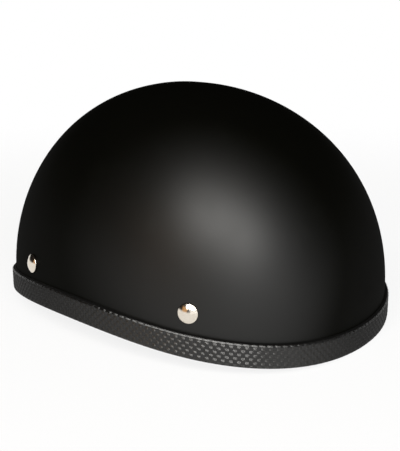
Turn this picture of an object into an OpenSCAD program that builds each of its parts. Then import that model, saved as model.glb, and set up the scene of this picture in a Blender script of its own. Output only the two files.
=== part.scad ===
// Low half-shell novelty riding helmet: moulded shell, woven-look edge trim, riveted strap harness,
// foam and cloth liner, headband pads and a side-release chin buckle, with the straps tucked inside.
// Front faces -Y, the wearer's left is +X, and the rim's lowest points lie on Z = 0.

/* [Shell] */
// Length of the bare shell from brow to nape
shell_l = 262.6; // [245:0.1:285]
// Width of the bare shell, before its corner and ear shaping
shell_w = 211.4; // [195:0.1:230]
// Height of the crown above the rim's lowest points
crown_z = 153; // [140:1:170]
// Height at which the upright skirt turns into the dome
dome_z = 22; // [18:0.5:26]
// Thickness of the moulded shell
shell_wall = 3.5; // [2.8:0.1:4.5]
// How far the plan outline fills out towards its four corners
corner_full = 0.045; // [0.02:0.005:0.06]
// How much wider the shell is towards the nape
nape_wide = 0.07; // [0.03:0.005:0.1]
// How far the dome swells outside a plain ellipsoid
dome_full = 0.02; // [0:0.005:0.04]
// How far the crown sits forward of the middle
crown_forward = 2; // [0:0.5:6]

/* [Rim and edge trim] */
// Height of the rim's arch over each ear
rim_arch = 16.3; // [12:0.1:20]
// How much more the arch rises in front of the ear than behind it
rim_skew = 4.8; // [0:0.1:8]
// Height of the trim's outer leg
trim_h = 15.4; // [12:0.1:18]
// How far the trim stands out from the shell
trim_out = 2.6; // [2:0.1:3.2]
// Height of the trim's inner leg
trim_in_h = 9; // [7:0.5:11]
// Thickness of the trim's inner leg
trim_in_t = 1.5; // [1:0.1:2]
// Thickness of the trim under the shell's edge
trim_web = 1.6; // [1:0.1:2.5]
// Radius of the trim's lower edges
trim_low_r = 1.4; // [0.6:0.1:1.8]
// Radius of the trim's upper shoulder
trim_top_r = 1.8; // [0.8:0.1:1.9]

/* [Rivets] */
// Diameter of a rivet's domed cap
cap_d = 12.2; // [10:0.1:14]
// Height of a rivet's domed cap
cap_h = 3; // [2:0.1:4]
// Diameter of a rivet's shank
shank_d = 4.8; // [4:0.1:6]
// Running clearance round the shank
shank_gap = 0.1; // [0.05:0.01:0.2]
// Bearing of the rear rivets, from the nape round towards the ear
rear_bearing = 58.2; // [54:0.1:60]
// Bearing of the front rivets, from the nape round towards the brow
front_bearing = 116.4; // [115:0.1:120]
// Height of the rear rivets above the rim beneath them
rear_rivet_up = 27; // [24:0.5:29]
// Height of the front rivets above the rim beneath them
front_rivet_up = 25.5; // [23:0.5:27]
// Diameter of the washer under each rolled shank end
washer_d = 13; // [10:0.5:14]
// Thickness of that washer
washer_t = 0.8; // [0.5:0.1:1.2]

/* [Liner and pads] */
// Height at which the foam and cloth liner starts, above the headband pads
liner_z = 53; // [52:0.5:58]
// Thickness of the foam liner
foam_t = 8; // [5:0.5:11]
// Thickness of the quilted cloth liner
cloth_t = 1.6; // [1:0.1:2.5]
// Clearance between stacked soft layers
layer_gap = 0.4; // [0.3:0.05:0.6]
// Thickness of the headband pads
pad_t = 11; // [8:0.5:13]
// Half the angle that the nape pad spans
nape_half = 44; // [38:1:46]
// Half the angle that the brow pad spans
brow_half = 52; // [44:1:53]
// Bearing at which each temple pad starts
temple_from = 69; // [68:1:74]
// Bearing at which each temple pad ends
temple_to = 102; // [96:1:104]
// Angle that the crown pad spans from the crown down
crown_pad_angle = 21; // [14:1:23]
// Thickness of the crown pad
crown_pad_t = 5; // [3:0.5:6]

/* [Straps] */
// Width of the strap webbing
web_w = 20; // [16:0.5:22]
// Thickness of the strap webbing
web_t = 1.5; // [1.2:0.1:1.8]
// How far each fold line lies inside the shell's outer face at the nearer rivet
fold_inset = 8.8; // [8.6:0.1:12]
// Height of the fold lines
fold_z = 15; // [13:0.5:17]
// Lean of the tucked straps from upright
tuck_lean = 30; // [28:1:34]
// Distance from the fold line to the point where two strap legs meet
meet_s = 58; // [52:1:62]
// Place of that point along the helmet, towards the nape
meet_y = 6; // [0:0.5:12]
// Height at which the strap tabs stop behind the rivets
tab_past = 9; // [7:0.5:10]
// Distance from the fold line to the socket's crossbar
socket_s = 86; // [84:1:90]
// Distance from the fold line to the plug's crossbar
plug_s = 90; // [88:1:92]
// Thickness of the sewn patch where the legs meet
patch_t = 1.2; // [0.8:0.1:1.6]
// Length of webbing turned back past the plug's crossbar
tail_l = 34; // [24:1:40]
// Length of the tail keeper along the strap
keeper_l = 6; // [4:0.5:8]
// Wall of the tail keeper
keeper_t = 1.2; // [0.8:0.1:1.6]

/* [Buckle] */
// Thickness of the buckle socket
socket_t = 9; // [8:0.5:10]
// Length of the buckle socket past its crossbar
socket_l = 30; // [27:0.5:33]
// Length of the socket's side windows
window_l = 12; // [9:0.5:13]
// Distance from the socket's webbing slot to its side windows
window_in = 6; // [5:0.5:7]
// Wall at each side of the buckle, beside the webbing
side_wall = 3.2; // [2.5:0.1:4]
// Diameter of the crossbars that hold the webbing
bar_d = 3; // [2.6:0.1:3.4]
// Thickness of the plug and its prongs
plug_t = 5; // [4:0.1:5.4]
// Length of the prongs past their roots
prong_l = 17; // [14:0.5:19]
// Width of a prong's arm
prong_w = 2.6; // [2:0.1:3]
// Clearance between the buckle's moving pieces
fit_gap = 0.3; // [0.2:0.05:0.4]

/* [Hidden] */
$fn = 48;
// Stations round the shell and its trim, and round the liner
shell_n = 96;
liner_n = 48;
// Rows from the rim to the crown on the shell and on the liner
shell_rows = 14;
liner_rows = 9;
// Small shaping terms of the dome, as shares of its size
ear_wide = 0.01;
side_full = 0.02;
nape_full = 0.02;
rise = crown_z - dome_z;
// Play between the shell and the trim that is pressed over it
trim_play = 0.15;
// How far a flat tab's outer face stays inside the curved wall
tab_stand = 1.4;
tab_depth = shell_wall + tab_stand;
washer_depth = tab_depth + web_t;
roll_depth = washer_depth + washer_t;
roll_h = 1.4;
roll_d = shank_d + 2.4;
// Depths below the shell's outer face of each soft layer
soft_depth = shell_wall + layer_gap;
cloth_depth = soft_depth + foam_t + layer_gap;
crown_pad_depth = cloth_depth + cloth_t + layer_gap;
fold_r = web_t;
loop_r = bar_d/2 + fit_gap;
fold_x = min(rivet_at(front_bearing, front_rivet_up).x, rivet_at(rear_bearing, rear_rivet_up).x)
    - fold_inset;
// Middle of the chin strap's two layers, where the crossbars lie
bar_x = web_t/2 + web_t + layer_gap/2;
slot_half = web_w/2 + 2*fit_gap;
buckle_half = slot_half + side_wall;
corner_r = 3;
// Place of a prong's root, seen from the plug's crossbar, and its head's length and barb
root_y = slot_half - 3;
root_z = loop_r + web_t + 4;
root_r = 1.7;
head_l = 6.5;
barb_out = 2.2;
swing_room = 1.6;
// Lands beside the webbing slots, and the plug's guide tongue
land = 1.2;
tongue_w = 3.2;
tongue_thin = 0.8;
// Clearance between the trim's inner leg and the pads above it
pad_up = 1.5;
// Lean of a tab where it reaches the fold
tab_tilt = 20;

// Plan outline and dome. u is the bearing round the helmet, 0 at the nape and 90 at the left ear.
function corner(u) = 1 + corner_full*pow(sin(2*u), 2);
function plan_x(u, d) =
    (shell_w/2 - d)*sin(u)*corner(u)*(1 + nape_wide*cos(u) + ear_wide*cos(2*u));
function plan_y(u, d) = (shell_l/2 - d)*cos(u)*corner(u);
function swell(u, v) =
    dome_full + side_full*cos(2*u) + nape_full*cos(u)*pow(cos(v), 2);
function draw_in(u, v) = cos(v)*(1 + pow(sin(v), 2)*swell(u, v));
// A point d below the outer face. v climbs from the skirt's top at 0 to the crown at 90.
function skin(u, v, d) = v <= 0
    ? [plan_x(u, d), plan_y(u, d), dome_z + (rise - d)*v*PI/180]
    : [plan_x(u, d)*draw_in(u, v),
        plan_y(u, d)*draw_in(u, v) - crown_forward*(1 - cos(v)),
        dome_z + (rise - d)*sin(v)];
function climb(z, d) = z <= dome_z
    ? (z - dome_z)/(rise - d)*180/PI : asin(min(1, (z - dome_z)/(rise - d)));
function skin_at(u, z, d) = skin(u, climb(z, d), d);
function rim(u) = pow(sin(u), 2)*(rim_arch - rim_skew*cos(u));

function unit(a) = a/norm(a);
function mean(ring) = [for (k = [0:2]) [for (p = ring) p[k]]*[for (p = ring) 1]/len(ring)];
function mixed(a, b, f) = a*(1 - f) + b*f;
function eased(f) = f*f*(3 - 2*f);

// A closed solid through rings of points. tips close its two ends, and a looped one has no ends.
module ringed(rings, tips = undef, looped = false) {
    n = len(rings);
    m = len(rings[0]);
    flat = [for (ring = rings) each ring];
    last = looped ? n - 1 : n - 2;
    sides = [for (i = [0:last]) for (j = [0:m - 1])
        let (a = i*m + j, b = i*m + (j + 1)%m, c = ((i + 1)%n)*m + (j + 1)%m, d = ((i + 1)%n)*m + j)
        each [[a, c, b], [a, d, c]]];
    caps = looped ? [] : [for (j = [0:m - 1])
        each [[n*m, j, (j + 1)%m], [n*m + 1, (n - 1)*m + (j + 1)%m, (n - 1)*m + j]]];
    polyhedron(points = looped ? flat : concat(flat, tips), faces = concat(sides, caps));
}

// A dome-shaped layer between two depths, from a lower edge at height edge[i] to the crown
module dome_layer(outer, inner, n, rows, edge) {
    bearings = [for (i = [0:n - 1]) 360*i/n];
    function row(j, d) = [for (i = [0:n - 1])
        let (v0 = climb(edge[i], d)) skin(bearings[i], v0 + (90 - v0)*j/rows, d)];
    rings = concat([for (j = [rows - 1:-1:0]) row(j, outer)], [for (j = [0:rows - 1]) row(j, inner)]);
    ringed(rings, [skin(0, 90, outer), skin(0, 90, inner)]);
}

// Frame of a rivet: its place on the outer face, its outward direction, and the shell's tangents
function rivet_z(u, up) = rim(u) + up;
function rivet_at(u, up) = skin_at(u, rivet_z(u, up), 0);
function rivet_out(u, up) = let (step = 0.5, z = rivet_z(u, up),
        along = skin_at(u + step, z, 0) - skin_at(u - step, z, 0),
        above = skin_at(u, z + step, 0) - skin_at(u, z - step, 0))
    unit(cross(along, above))*sign(cross(along, above)*[sin(u), cos(u), 0]);

module at_rivet(u, up) {
    n = rivet_out(u, up);
    translate(rivet_at(u, up)) rotate([0, acos(n.z), atan2(n.y, n.x)]) children();
}

module shell() {
    edge = [for (i = [0:shell_n - 1]) rim(360*i/shell_n) + trim_web + trim_play];
    color([0.03, 0.03, 0.03]) difference() {
        dome_layer(0, shell_wall, shell_n, shell_rows, edge);
        for (side = [0, 1]) mirror([side, 0, 0]) {
            shell_bore(rear_bearing, rear_rivet_up);
            shell_bore(front_bearing, front_rivet_up);
        }
    }
}

module shell_bore(u, up) {
    at_rivet(u, up) translate([0, 0, -2*shell_wall])
        cylinder(d = shank_d + 2*shank_gap, h = 3*shell_wall);
}

// Points of a quarter round about (c), from one angle to another
function bend(c, r, from, to, steps) =
    [for (i = [0:steps]) let (a = from + (to - from)*i/steps) c + r*[cos(a), sin(a)]];

// Channel section: first number is distance out from the shell's face, second is height over the rim
function trim_section() = let (
        inner = -shell_wall - trim_play,
        inside = inner - trim_in_t,
        tip_r = trim_in_t*0.45)
    concat(
        bend([trim_out - trim_low_r, trim_low_r], trim_low_r, -90, 0, 4),
        bend([trim_out - trim_top_r, trim_h - trim_top_r], trim_top_r, 0, 90, 4),
        [[trim_play, trim_h], [trim_play, trim_h/2], [trim_play, trim_web], [inner, trim_web]],
        bend([inner - tip_r, trim_in_h - tip_r], tip_r, 0, 90, 2),
        bend([inside + tip_r, trim_in_h - tip_r], tip_r, 90, 180, 2),
        bend([inside + trim_low_r, trim_low_r], trim_low_r, 180, 270, 2));

module edge_trim() {
    section = trim_section();
    rings = [for (i = [0:shell_n - 1]) let (u = 360*i/shell_n)
        [for (p = section) skin_at(u, rim(u) + p[1], -p[0])]];
    color([0.12, 0.12, 0.12]) ringed(rings, looped = true);
}

module rivet(u, up) {
    ball = (pow(cap_d/2, 2) + cap_h*cap_h)/(2*cap_h);
    reach = roll_depth + roll_h;
    color([0.85, 0.83, 0.8]) at_rivet(u, up) {
        intersection() {
            translate([0, 0, cap_h - ball]) sphere(ball);
            cylinder(d = cap_d + 1, h = cap_h + 1);
        }
        translate([0, 0, -reach]) cylinder(d = shank_d, h = reach);
        translate([0, 0, -reach]) cylinder(d = roll_d, h = roll_h - 0.02);
    }
}

module washer(u, up) {
    color([0.6, 0.6, 0.6]) at_rivet(u, up) translate([0, 0, -roll_depth]) difference() {
        cylinder(d = washer_d, h = washer_t);
        translate([0, 0, -1]) cylinder(d = shank_d + 2*shank_gap, h = washer_t + 2);
    }
}

module foam_liner() {
    color([0.16, 0.16, 0.17])
        dome_layer(soft_depth, soft_depth + foam_t, liner_n, liner_rows, [for (i = [1:liner_n]) liner_z]);
}

module cloth_liner() {
    color([0.09, 0.09, 0.1])
        dome_layer(cloth_depth, cloth_depth + cloth_t, liner_n, liner_rows,
            [for (i = [1:liner_n]) liner_z]);
}

// A cushion's section: flat towards the wall, crowned towards the head
function cushion_share(a, power) = sign(a)*pow(abs(a), power);

// A headband pad between two bearings. Its ends round off, and its back follows the wall.
module band_pad(from, to) {
    steps = max(8, round((to - from)/6));
    back = soft_depth;
    rings = [for (i = [0:steps]) let (
            s = -cos(180*(0.04 + 0.92*i/steps)),
            u = (from + to)/2 + (to - from)/2*s,
            full = pow(1 - pow(abs(s), 4), 0.4),
            low = rim(u) + trim_in_h + pad_up,
            high = liner_z - layer_gap,
            half = (high - low)/2*(0.8 + 0.2*full),
            depth = pad_t*(0.35 + 0.65*full))
        [for (k = [0:13]) let (a = 360*k/14)
            skin_at(u, (low + high)/2 + half*cushion_share(sin(a), 0.6),
                back + depth*(0.5 - 0.5*cushion_share(cos(a), 0.55)))]];
    color([0.13, 0.13, 0.14]) ringed(rings, [mean(rings[0]), mean(rings[steps])]);
}

// Round pad inside the crown
module crown_pad() {
    n = 32;
    rows = 5;
    function row(j, deep) = [for (i = [0:n - 1]) let (share = j/rows)
        skin(360*i/n, 90 - crown_pad_angle*share,
            crown_pad_depth + deep*crown_pad_t*(0.3 + 0.7*pow(1 - pow(share, 4), 0.5)))];
    rings = concat([for (j = [1:rows]) row(j, 0)], [for (j = [rows:-1:1]) row(j, 1)]);
    color([0.13, 0.13, 0.14])
        ringed(rings, [skin(0, 90, crown_pad_depth), skin(0, 90, crown_pad_depth + crown_pad_t)]);
}

// Slope of a strap leg away from upright, from its rivet down past the fold to the meeting point
function drop(u, up) = rivet_z(u, up) - fold_z + meet_s;
function slant(u, up) = (rivet_at(u, up).y - meet_y)/drop(u, up);
function fold_y(u, up) = meet_y + slant(u, up)*meet_s;
function half_cut(u, up) = web_w/2*sqrt(1 + pow(slant(u, up), 2));

// Fixed upper end of a strap leg: flat behind its rivet, then easing over to the fold line
module tab(u, up) {
    n = rivet_out(u, up);
    level = unit(cross([0, 0, 1], n));
    upward = cross(n, level);
    lean = slant(u, up)*sign(level.y);
    run = unit(-upward - level*lean);
    wide = unit(cross(n, run))*web_w/2;
    place = rivet_at(u, up) - n*(tab_depth + web_t/2);
    turn = sign(wide.y);
    end = [fold_x, fold_y(u, up), fold_z]
        + (fold_r + fit_gap)*[sin(tab_tilt), 0, cos(tab_tilt)];
    end_wide = [0, turn*half_cut(u, up), 0];
    leave = place + run*(washer_d/2 + 1);
    function ring(p, w, t) = [p + w + t, p - w + t, p - w - t, p + w - t];
    steps = 7;
    thick = n*web_t/2;
    end_thick = [cos(tab_tilt), 0, -sin(tab_tilt)]*web_t/2;
    sweep = [for (i = [0:steps]) let (f = i/steps, e = eased(f))
        ring(mixed(leave, end, f), mixed(wide, end_wide, f), unit(mixed(thick, end_thick, e))*web_t/2)];
    rings = concat([ring(place - run*tab_past, wide, thick)], sweep);
    color([0.07, 0.07, 0.08]) difference() {
        if (turn > 0) ringed(rings, [mean(rings[0]), mean(rings[steps + 1])]);
        else ringed([for (i = [steps + 1:-1:0]) rings[i]], [mean(rings[steps + 1]), mean(rings[0])]);
        at_rivet(u, up) translate([0, 0, -roll_depth])
            cylinder(d = shank_d + 2*shank_gap, h = roll_depth - shell_wall);
    }
}

// Frame of the tucked straps: Z runs up the strap from the fold, X is square to it, towards the wall
module on_strap() {
    translate([fold_x, 0, fold_z]) rotate([0, -tuck_lean, 0]) children();
}

// A flat sheet from x0, drawn in Y and Z
module sheet(x0, t) {
    translate([x0, 0, 0]) rotate([90, 0, 90]) linear_extrude(height = t) children();
}

// A bar along Y with its section drawn in X and Z
module across(w) {
    translate([0, w/2, 0]) rotate([90, 0, 0]) linear_extrude(height = w) children();
}

// One strap leg, cut along the fold line and along the line where the two legs meet
module leg(u, up) {
    y0 = fold_y(u, up);
    cut = half_cut(u, up);
    k = slant(u, up);
    way = sign(k);
    near = y0 - way*cut;
    far = y0 + way*cut;
    middle = meet_y + way*layer_gap/2;
    end_s = meet_s + web_w*0.4;
    color([0.07, 0.07, 0.08]) on_strap() {
        sheet(-web_t/2, web_t) polygon([[near, 0], [far, 0], [far - k*end_s, end_s],
            [middle, end_s], [middle, (near - middle)/k]]);
        translate([0, y0, 0]) across(2*cut) circle(fold_r);
    }
}

// Sewn patch that backs the two legs where they meet
module patch() {
    half = web_w*0.7;
    low = meet_s - web_w*0.7;
    high = meet_s + web_w*0.4;
    color([0.1, 0.1, 0.1]) on_strap() sheet(-web_t/2 - patch_t, patch_t)
        translate([meet_y, 0]) polygon([[-half, low + half*0.5], [-half*0.45, low], [half*0.45, low],
            [half, low + half*0.5], [half*0.55, high], [-half*0.55, high]]);
}

// Webbing seen edge on: a layer from s0, a loop round the bar at s1, and a layer turned back to s2
module webbing(s0, s1, s2) {
    inner = web_t/2;
    outer = inner + web_t;
    back = outer + layer_gap;
    spread = s1 - 3*loop_r;
    wall = loop_r + web_t;
    difference() {
        union() {
            translate([bar_x, s1]) circle(wall);
            polygon([[inner, s0], [outer, s0], [outer, spread], [bar_x, s1 - loop_r],
                [bar_x - wall*0.9, s1 - loop_r*0.7], [inner, spread]]);
            polygon([[back, s2], [back + web_t, s2], [back + web_t, spread],
                [bar_x + wall*0.9, s1 - loop_r*0.7], [bar_x, s1 - loop_r], [back, spread]]);
        }
        translate([bar_x, s1]) circle(loop_r);
    }
}

module chin_strap(bar_s, turned) {
    color([0.07, 0.07, 0.08]) on_strap() translate([0, meet_y, 0]) across(web_w)
        webbing(meet_s - web_w*0.45, bar_s, bar_s - turned);
}

// Loop that holds the strap's tail against the strap
module tail_keeper() {
    x0 = web_t/2 - fit_gap;
    x1 = web_t/2 + 2*web_t + layer_gap + fit_gap;
    y1 = web_w/2 + fit_gap;
    s0 = meet_s + web_w*0.4 + 1;
    color([0.05, 0.05, 0.05]) mirror([1, 0, 0]) on_strap() translate([0, meet_y, s0]) difference() {
        translate([x0 - keeper_t, -y1 - keeper_t, 0])
            cube([x1 - x0 + 2*keeper_t, 2*(y1 + keeper_t), keeper_l]);
        translate([x0, -y1, -1]) cube([x1 - x0, 2*y1, keeper_l + 2]);
    }
}

// Outline with round corners, drawn in Y and Z
module rounded(y0, y1, z0, z1, r) {
    translate([y0 + r, z0]) square([y1 - y0 - 2*r, z1 - z0]);
    translate([y0, z0 + r]) square([y1 - y0, z1 - z0 - 2*r]);
    for (y = [y0 + r, y1 - r], z = [z0 + r, z1 - r]) translate([y, z]) circle(r);
}

// Frame of a buckle half: Z runs on from its crossbar
module on_bar(s) {
    on_strap() translate([bar_x, meet_y, s]) children();
}

// Webbing slot round the crossbar, cut through a buckle half of thickness t
module webbing_slot(t, solid_from) {
    translate([-t, -slot_half, -2*corner_r]) cube([2*t, 2*slot_half, solid_from + 2*corner_r]);
}

module crossbar() {
    rotate([90, 0, 0]) cylinder(d = bar_d, h = 2*(slot_half + side_wall/2), center = true);
}

module buckle_socket() {
    cavity = plug_t/2 + fit_gap;
    solid_from = loop_r + web_t + land;
    window_z = solid_from + window_in + window_l/2;
    color([0.04, 0.04, 0.04]) on_bar(socket_s) {
        difference() {
            intersection() {
                sheet(-socket_t/2, socket_t)
                    rounded(-buckle_half, buckle_half, -bar_d, socket_l, corner_r);
                across(3*buckle_half) rounded(-socket_t/2, socket_t/2, -bar_d, socket_l, bar_d*0.8);
            }
            webbing_slot(socket_t, solid_from);
            translate([-cavity, -slot_half + land, solid_from + 2*land])
                cube([2*cavity, 2*(slot_half - land), socket_l]);
            for (way = [-1, 1]) translate([0, way*buckle_half, window_z])
                cube([2*cavity, 2*(side_wall + 2*land), window_l], center = true);
        }
        crossbar();
    }
}

module buckle_plug() {
    solid_from = loop_r + web_t + land;
    base_l = root_z + root_r + land;
    color([0.04, 0.04, 0.04]) mirror([1, 0, 0]) on_bar(plug_s) {
        difference() {
            union() {
                sheet(-plug_t/2, plug_t) rounded(-buckle_half, buckle_half, -bar_d, base_l, corner_r*0.6);
                sheet((tongue_thin - plug_t)/2, plug_t - tongue_thin)
                    rounded(-tongue_w/2, tongue_w/2, base_l - 2*land, root_z + prong_l, tongue_w/3);
            }
            webbing_slot(plug_t, solid_from);
            for (way = [0, 1]) mirror([0, way, 0]) translate([0, root_y, root_z]) {
                rotate([0, 90, 0]) cylinder(r = root_r + fit_gap, h = 3*plug_t, center = true);
                translate([-plug_t, -prong_w/2 - swing_room, 0])
                    cube([2*plug_t, prong_w + swing_room + 2*fit_gap, prong_l]);
            }
        }
        crossbar();
    }
}

// One springy prong of the plug, with its root, its arm and its barbed head
module prong(way) {
    barb = prong_w/2 + barb_out;
    barb_z = prong_l - head_l;
    color([0.04, 0.04, 0.04]) mirror([1, 0, 0]) on_bar(plug_s) mirror([0, way < 0 ? 1 : 0, 0])
        translate([0, root_y, root_z]) sheet(-plug_t/2, plug_t) {
            circle(root_r);
            polygon([[-prong_w/2, 0], [prong_w/2, 0], [prong_w/2, barb_z], [barb, barb_z],
                [barb, barb_z + head_l/4], [prong_w*0.2, prong_l], [-prong_w/2, prong_l]]);
        }
}

module left_of(side) {
    mirror([side == "right" ? 1 : 0, 0, 0]) children();
}

shell();
edge_trim();
foam_liner();
cloth_liner();
crown_pad();
band_pad(180 - brow_half, 180 + brow_half);  // brow_pad
band_pad(-nape_half, nape_half);  // nape_pad
band_pad(temple_from, temple_to);  // temple_pad_left
mirror([1, 0, 0]) band_pad(temple_from, temple_to);  // temple_pad_right
for (side = ["left", "right"]) {
    left_of(side) rivet(front_bearing, front_rivet_up);
    left_of(side) rivet(rear_bearing, rear_rivet_up);
    left_of(side) washer(front_bearing, front_rivet_up);
    left_of(side) washer(rear_bearing, rear_rivet_up);
    left_of(side) tab(front_bearing, front_rivet_up);
    left_of(side) tab(rear_bearing, rear_rivet_up);
    left_of(side) leg(front_bearing, front_rivet_up);
    left_of(side) leg(rear_bearing, rear_rivet_up);
    left_of(side) patch();
}
chin_strap(socket_s, web_w*0.8);  // chin_strap_left
mirror([1, 0, 0]) chin_strap(plug_s, tail_l);  // chin_strap_right
tail_keeper();
buckle_socket();
buckle_plug();
prong(-1);  // prong_front
prong(1);  // prong_rear
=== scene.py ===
"""Looks of a low half-shell riding helmet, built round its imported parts."""
import math

import bpy
import numpy as np
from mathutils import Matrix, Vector


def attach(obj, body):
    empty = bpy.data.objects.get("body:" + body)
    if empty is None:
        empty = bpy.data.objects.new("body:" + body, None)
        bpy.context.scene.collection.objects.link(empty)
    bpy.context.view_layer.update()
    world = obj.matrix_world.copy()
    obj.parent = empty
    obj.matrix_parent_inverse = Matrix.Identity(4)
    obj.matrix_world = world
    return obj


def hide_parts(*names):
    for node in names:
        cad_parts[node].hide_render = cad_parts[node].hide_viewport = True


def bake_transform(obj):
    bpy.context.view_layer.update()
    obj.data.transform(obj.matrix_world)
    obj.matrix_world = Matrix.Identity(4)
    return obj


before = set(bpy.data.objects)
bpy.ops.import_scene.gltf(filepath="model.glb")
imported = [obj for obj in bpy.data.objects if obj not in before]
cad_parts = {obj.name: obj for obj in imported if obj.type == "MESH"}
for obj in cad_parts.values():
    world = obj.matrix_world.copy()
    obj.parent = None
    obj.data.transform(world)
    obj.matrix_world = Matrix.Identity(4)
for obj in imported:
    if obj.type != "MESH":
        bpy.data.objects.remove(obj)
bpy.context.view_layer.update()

MM = 0.001
PI = math.pi

# Sizes of the part in millimetres, its shares and its angles, as its source has them
HALF_WIDE, HALF_LONG = 105.7, 131.3
SKIRT_TOP, RISE = 22.0, 131.0
CORNER_FULL, NAPE_WIDE, EAR_WIDE = 0.045, 0.07, 0.01
DOME_FULL, SIDE_FULL, NAPE_FULL, CROWN_FORWARD = 0.02, 0.02, 0.02, 2.0
RIM_ARCH, RIM_SKEW = 16.3, 4.8
WALL, TRIM_PLAY = 3.5, 0.15
TRIM_HIGH, TRIM_PROUD, TRIM_LEG, TRIM_LEG_HIGH, TRIM_WEB = 15.4, 2.6, 1.5, 9.0, 1.6
TRIM_FOOT, SHANK = 1.4, 2.4
RIVETS = {"rear": (58.2, 27.0), "front": (116.4, 25.5)}
TAB_DEPTH, ROLL_DEPTH = 4.9, 7.2
LINER_LOW, FOAM_DEPTH, FOAM_THICK = 53.0, 3.9, 8.0
CLOTH_DEPTH, CLOTH_THICK = 12.3, 1.6
CROWN_DEPTH, CROWN_THICK, CROWN_ANGLE = 14.3, 5.0, math.radians(21)
PAD_THICK, PAD_UP, GAP = 11.0, 1.5, 0.4
WEB_WIDE, WEB_THICK = 20.0, 1.5
FOLD_X, FOLD_Z, LEAN = 84.0404, 15.0, math.radians(30)
MEET_S, MEET_Y = 58.0, 6.0
SOCKET_S, PLUG_S, TAIL = 86.0, 90.0, 34.0
LOOP_R, BAR_X = 1.8, 2.45
KEEPER_S, KEEPER_LONG, KEEPER_THICK = 67.0, 6.0, 1.2
PATCH_THICK = 1.2
SIDES = {"left": 1.0, "right": -1.0}

# The dome's length for a radian of v, in millimetres too
DOME_REACH = 115.0
# A rivet cap's half width, its height and the height of its lip
CAP_HALF, CAP_HIGH, CAP_LIP = 6.1, 3.0, 0.95
# The quilting's pitch, its pillows' height, how far they are set back, and the hem's height
QUILT, PUFF, SUNK, HEM = 38.0, 2.6, 0.7, 1.3
# The trim's woven cells: rows up the face, a cell's length and the mesh's steps in it
WOVEN_ROWS, CELL_LONG, CELL_STEPS = 6, 2.34, 5
# Heights of the crowned and the leaning cells, and how far the bead dips
CROWNED, LEANING, BEAD_DIP = 0.1, 0.34, 0.14

scene = bpy.context.scene


# Camera and lamps

def compass(azimuth, elevation):
    """Unit vector towards a bearing: 0 looks along +Y, so the point itself lies towards -Y."""
    a, e = math.radians(azimuth), math.radians(elevation)
    return Vector((math.sin(a) * math.cos(e), -math.cos(a) * math.cos(e), math.sin(e)))


def aimed(name, data, eye, aim):
    """An object at one place that looks towards another."""
    holder = bpy.data.objects.new(name, data)
    holder.location = eye
    holder.rotation_euler = (aim - eye).to_track_quat("-Z", "Y").to_euler()
    scene.collection.objects.link(holder)
    return holder


def place_camera():
    """The photograph's viewpoint, fitted to the shell's outline, the trim and the two rivets."""
    camera = aimed("photo_camera", bpy.data.cameras.new("photo_camera"),
                   Vector((0.49417, 0.38578, 0.23160)), Vector((-0.0022, 0.0048, 0.0558)))
    camera.data.sensor_width = 36
    camera.data.lens = 75.9
    camera.data.clip_end = 60
    scene.camera = camera


def soft_lamp(name, azimuth, elevation, distance, wide, high, power, colour, roll=0.0):
    """A rectangular softbox that faces the helmet's middle, rolled about that line."""
    lamp = bpy.data.lights.new(name, "AREA")
    lamp.shape, lamp.size, lamp.size_y = "RECTANGLE", wide, high
    lamp.energy, lamp.color = power, colour
    middle = Vector((0, 0, 0.07))
    holder = aimed(name, lamp, middle + compass(azimuth, elevation) * distance, middle)
    holder.rotation_euler.rotate_axis("Z", math.radians(roll))


# Shader maths

class Value:
    """A number in a material's node tree. Arithmetic on it adds the Math nodes that work it out."""

    def __init__(self, finish, socket):
        self.finish, self.socket = finish, socket

    def math(self, operation, *values):
        return self.finish.node("ShaderNodeMath", {"operation": operation}, dict(enumerate(values)))

    def __add__(self, other):
        return self.math("ADD", self, other)

    __radd__ = __add__

    def __sub__(self, other):
        return self.math("SUBTRACT", self, other)

    def __rsub__(self, other):
        return self.math("SUBTRACT", other, self)

    def __mul__(self, other):
        return self.math("MULTIPLY", self, other)

    __rmul__ = __mul__

    def __pow__(self, other):
        return self.math("POWER", self, other)

    def __mod__(self, other):
        return self.math("FLOORED_MODULO", self, other)

    def __abs__(self):
        return self.math("ABSOLUTE", self)

    def sine(self):
        return self.math("SINE", self)

    def floor(self):
        return self.math("FLOOR", self)

    def above(self, edge):
        return self.math("GREATER_THAN", self, edge)

    def most(self, other):
        return self.math("MAXIMUM", self, other)


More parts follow.
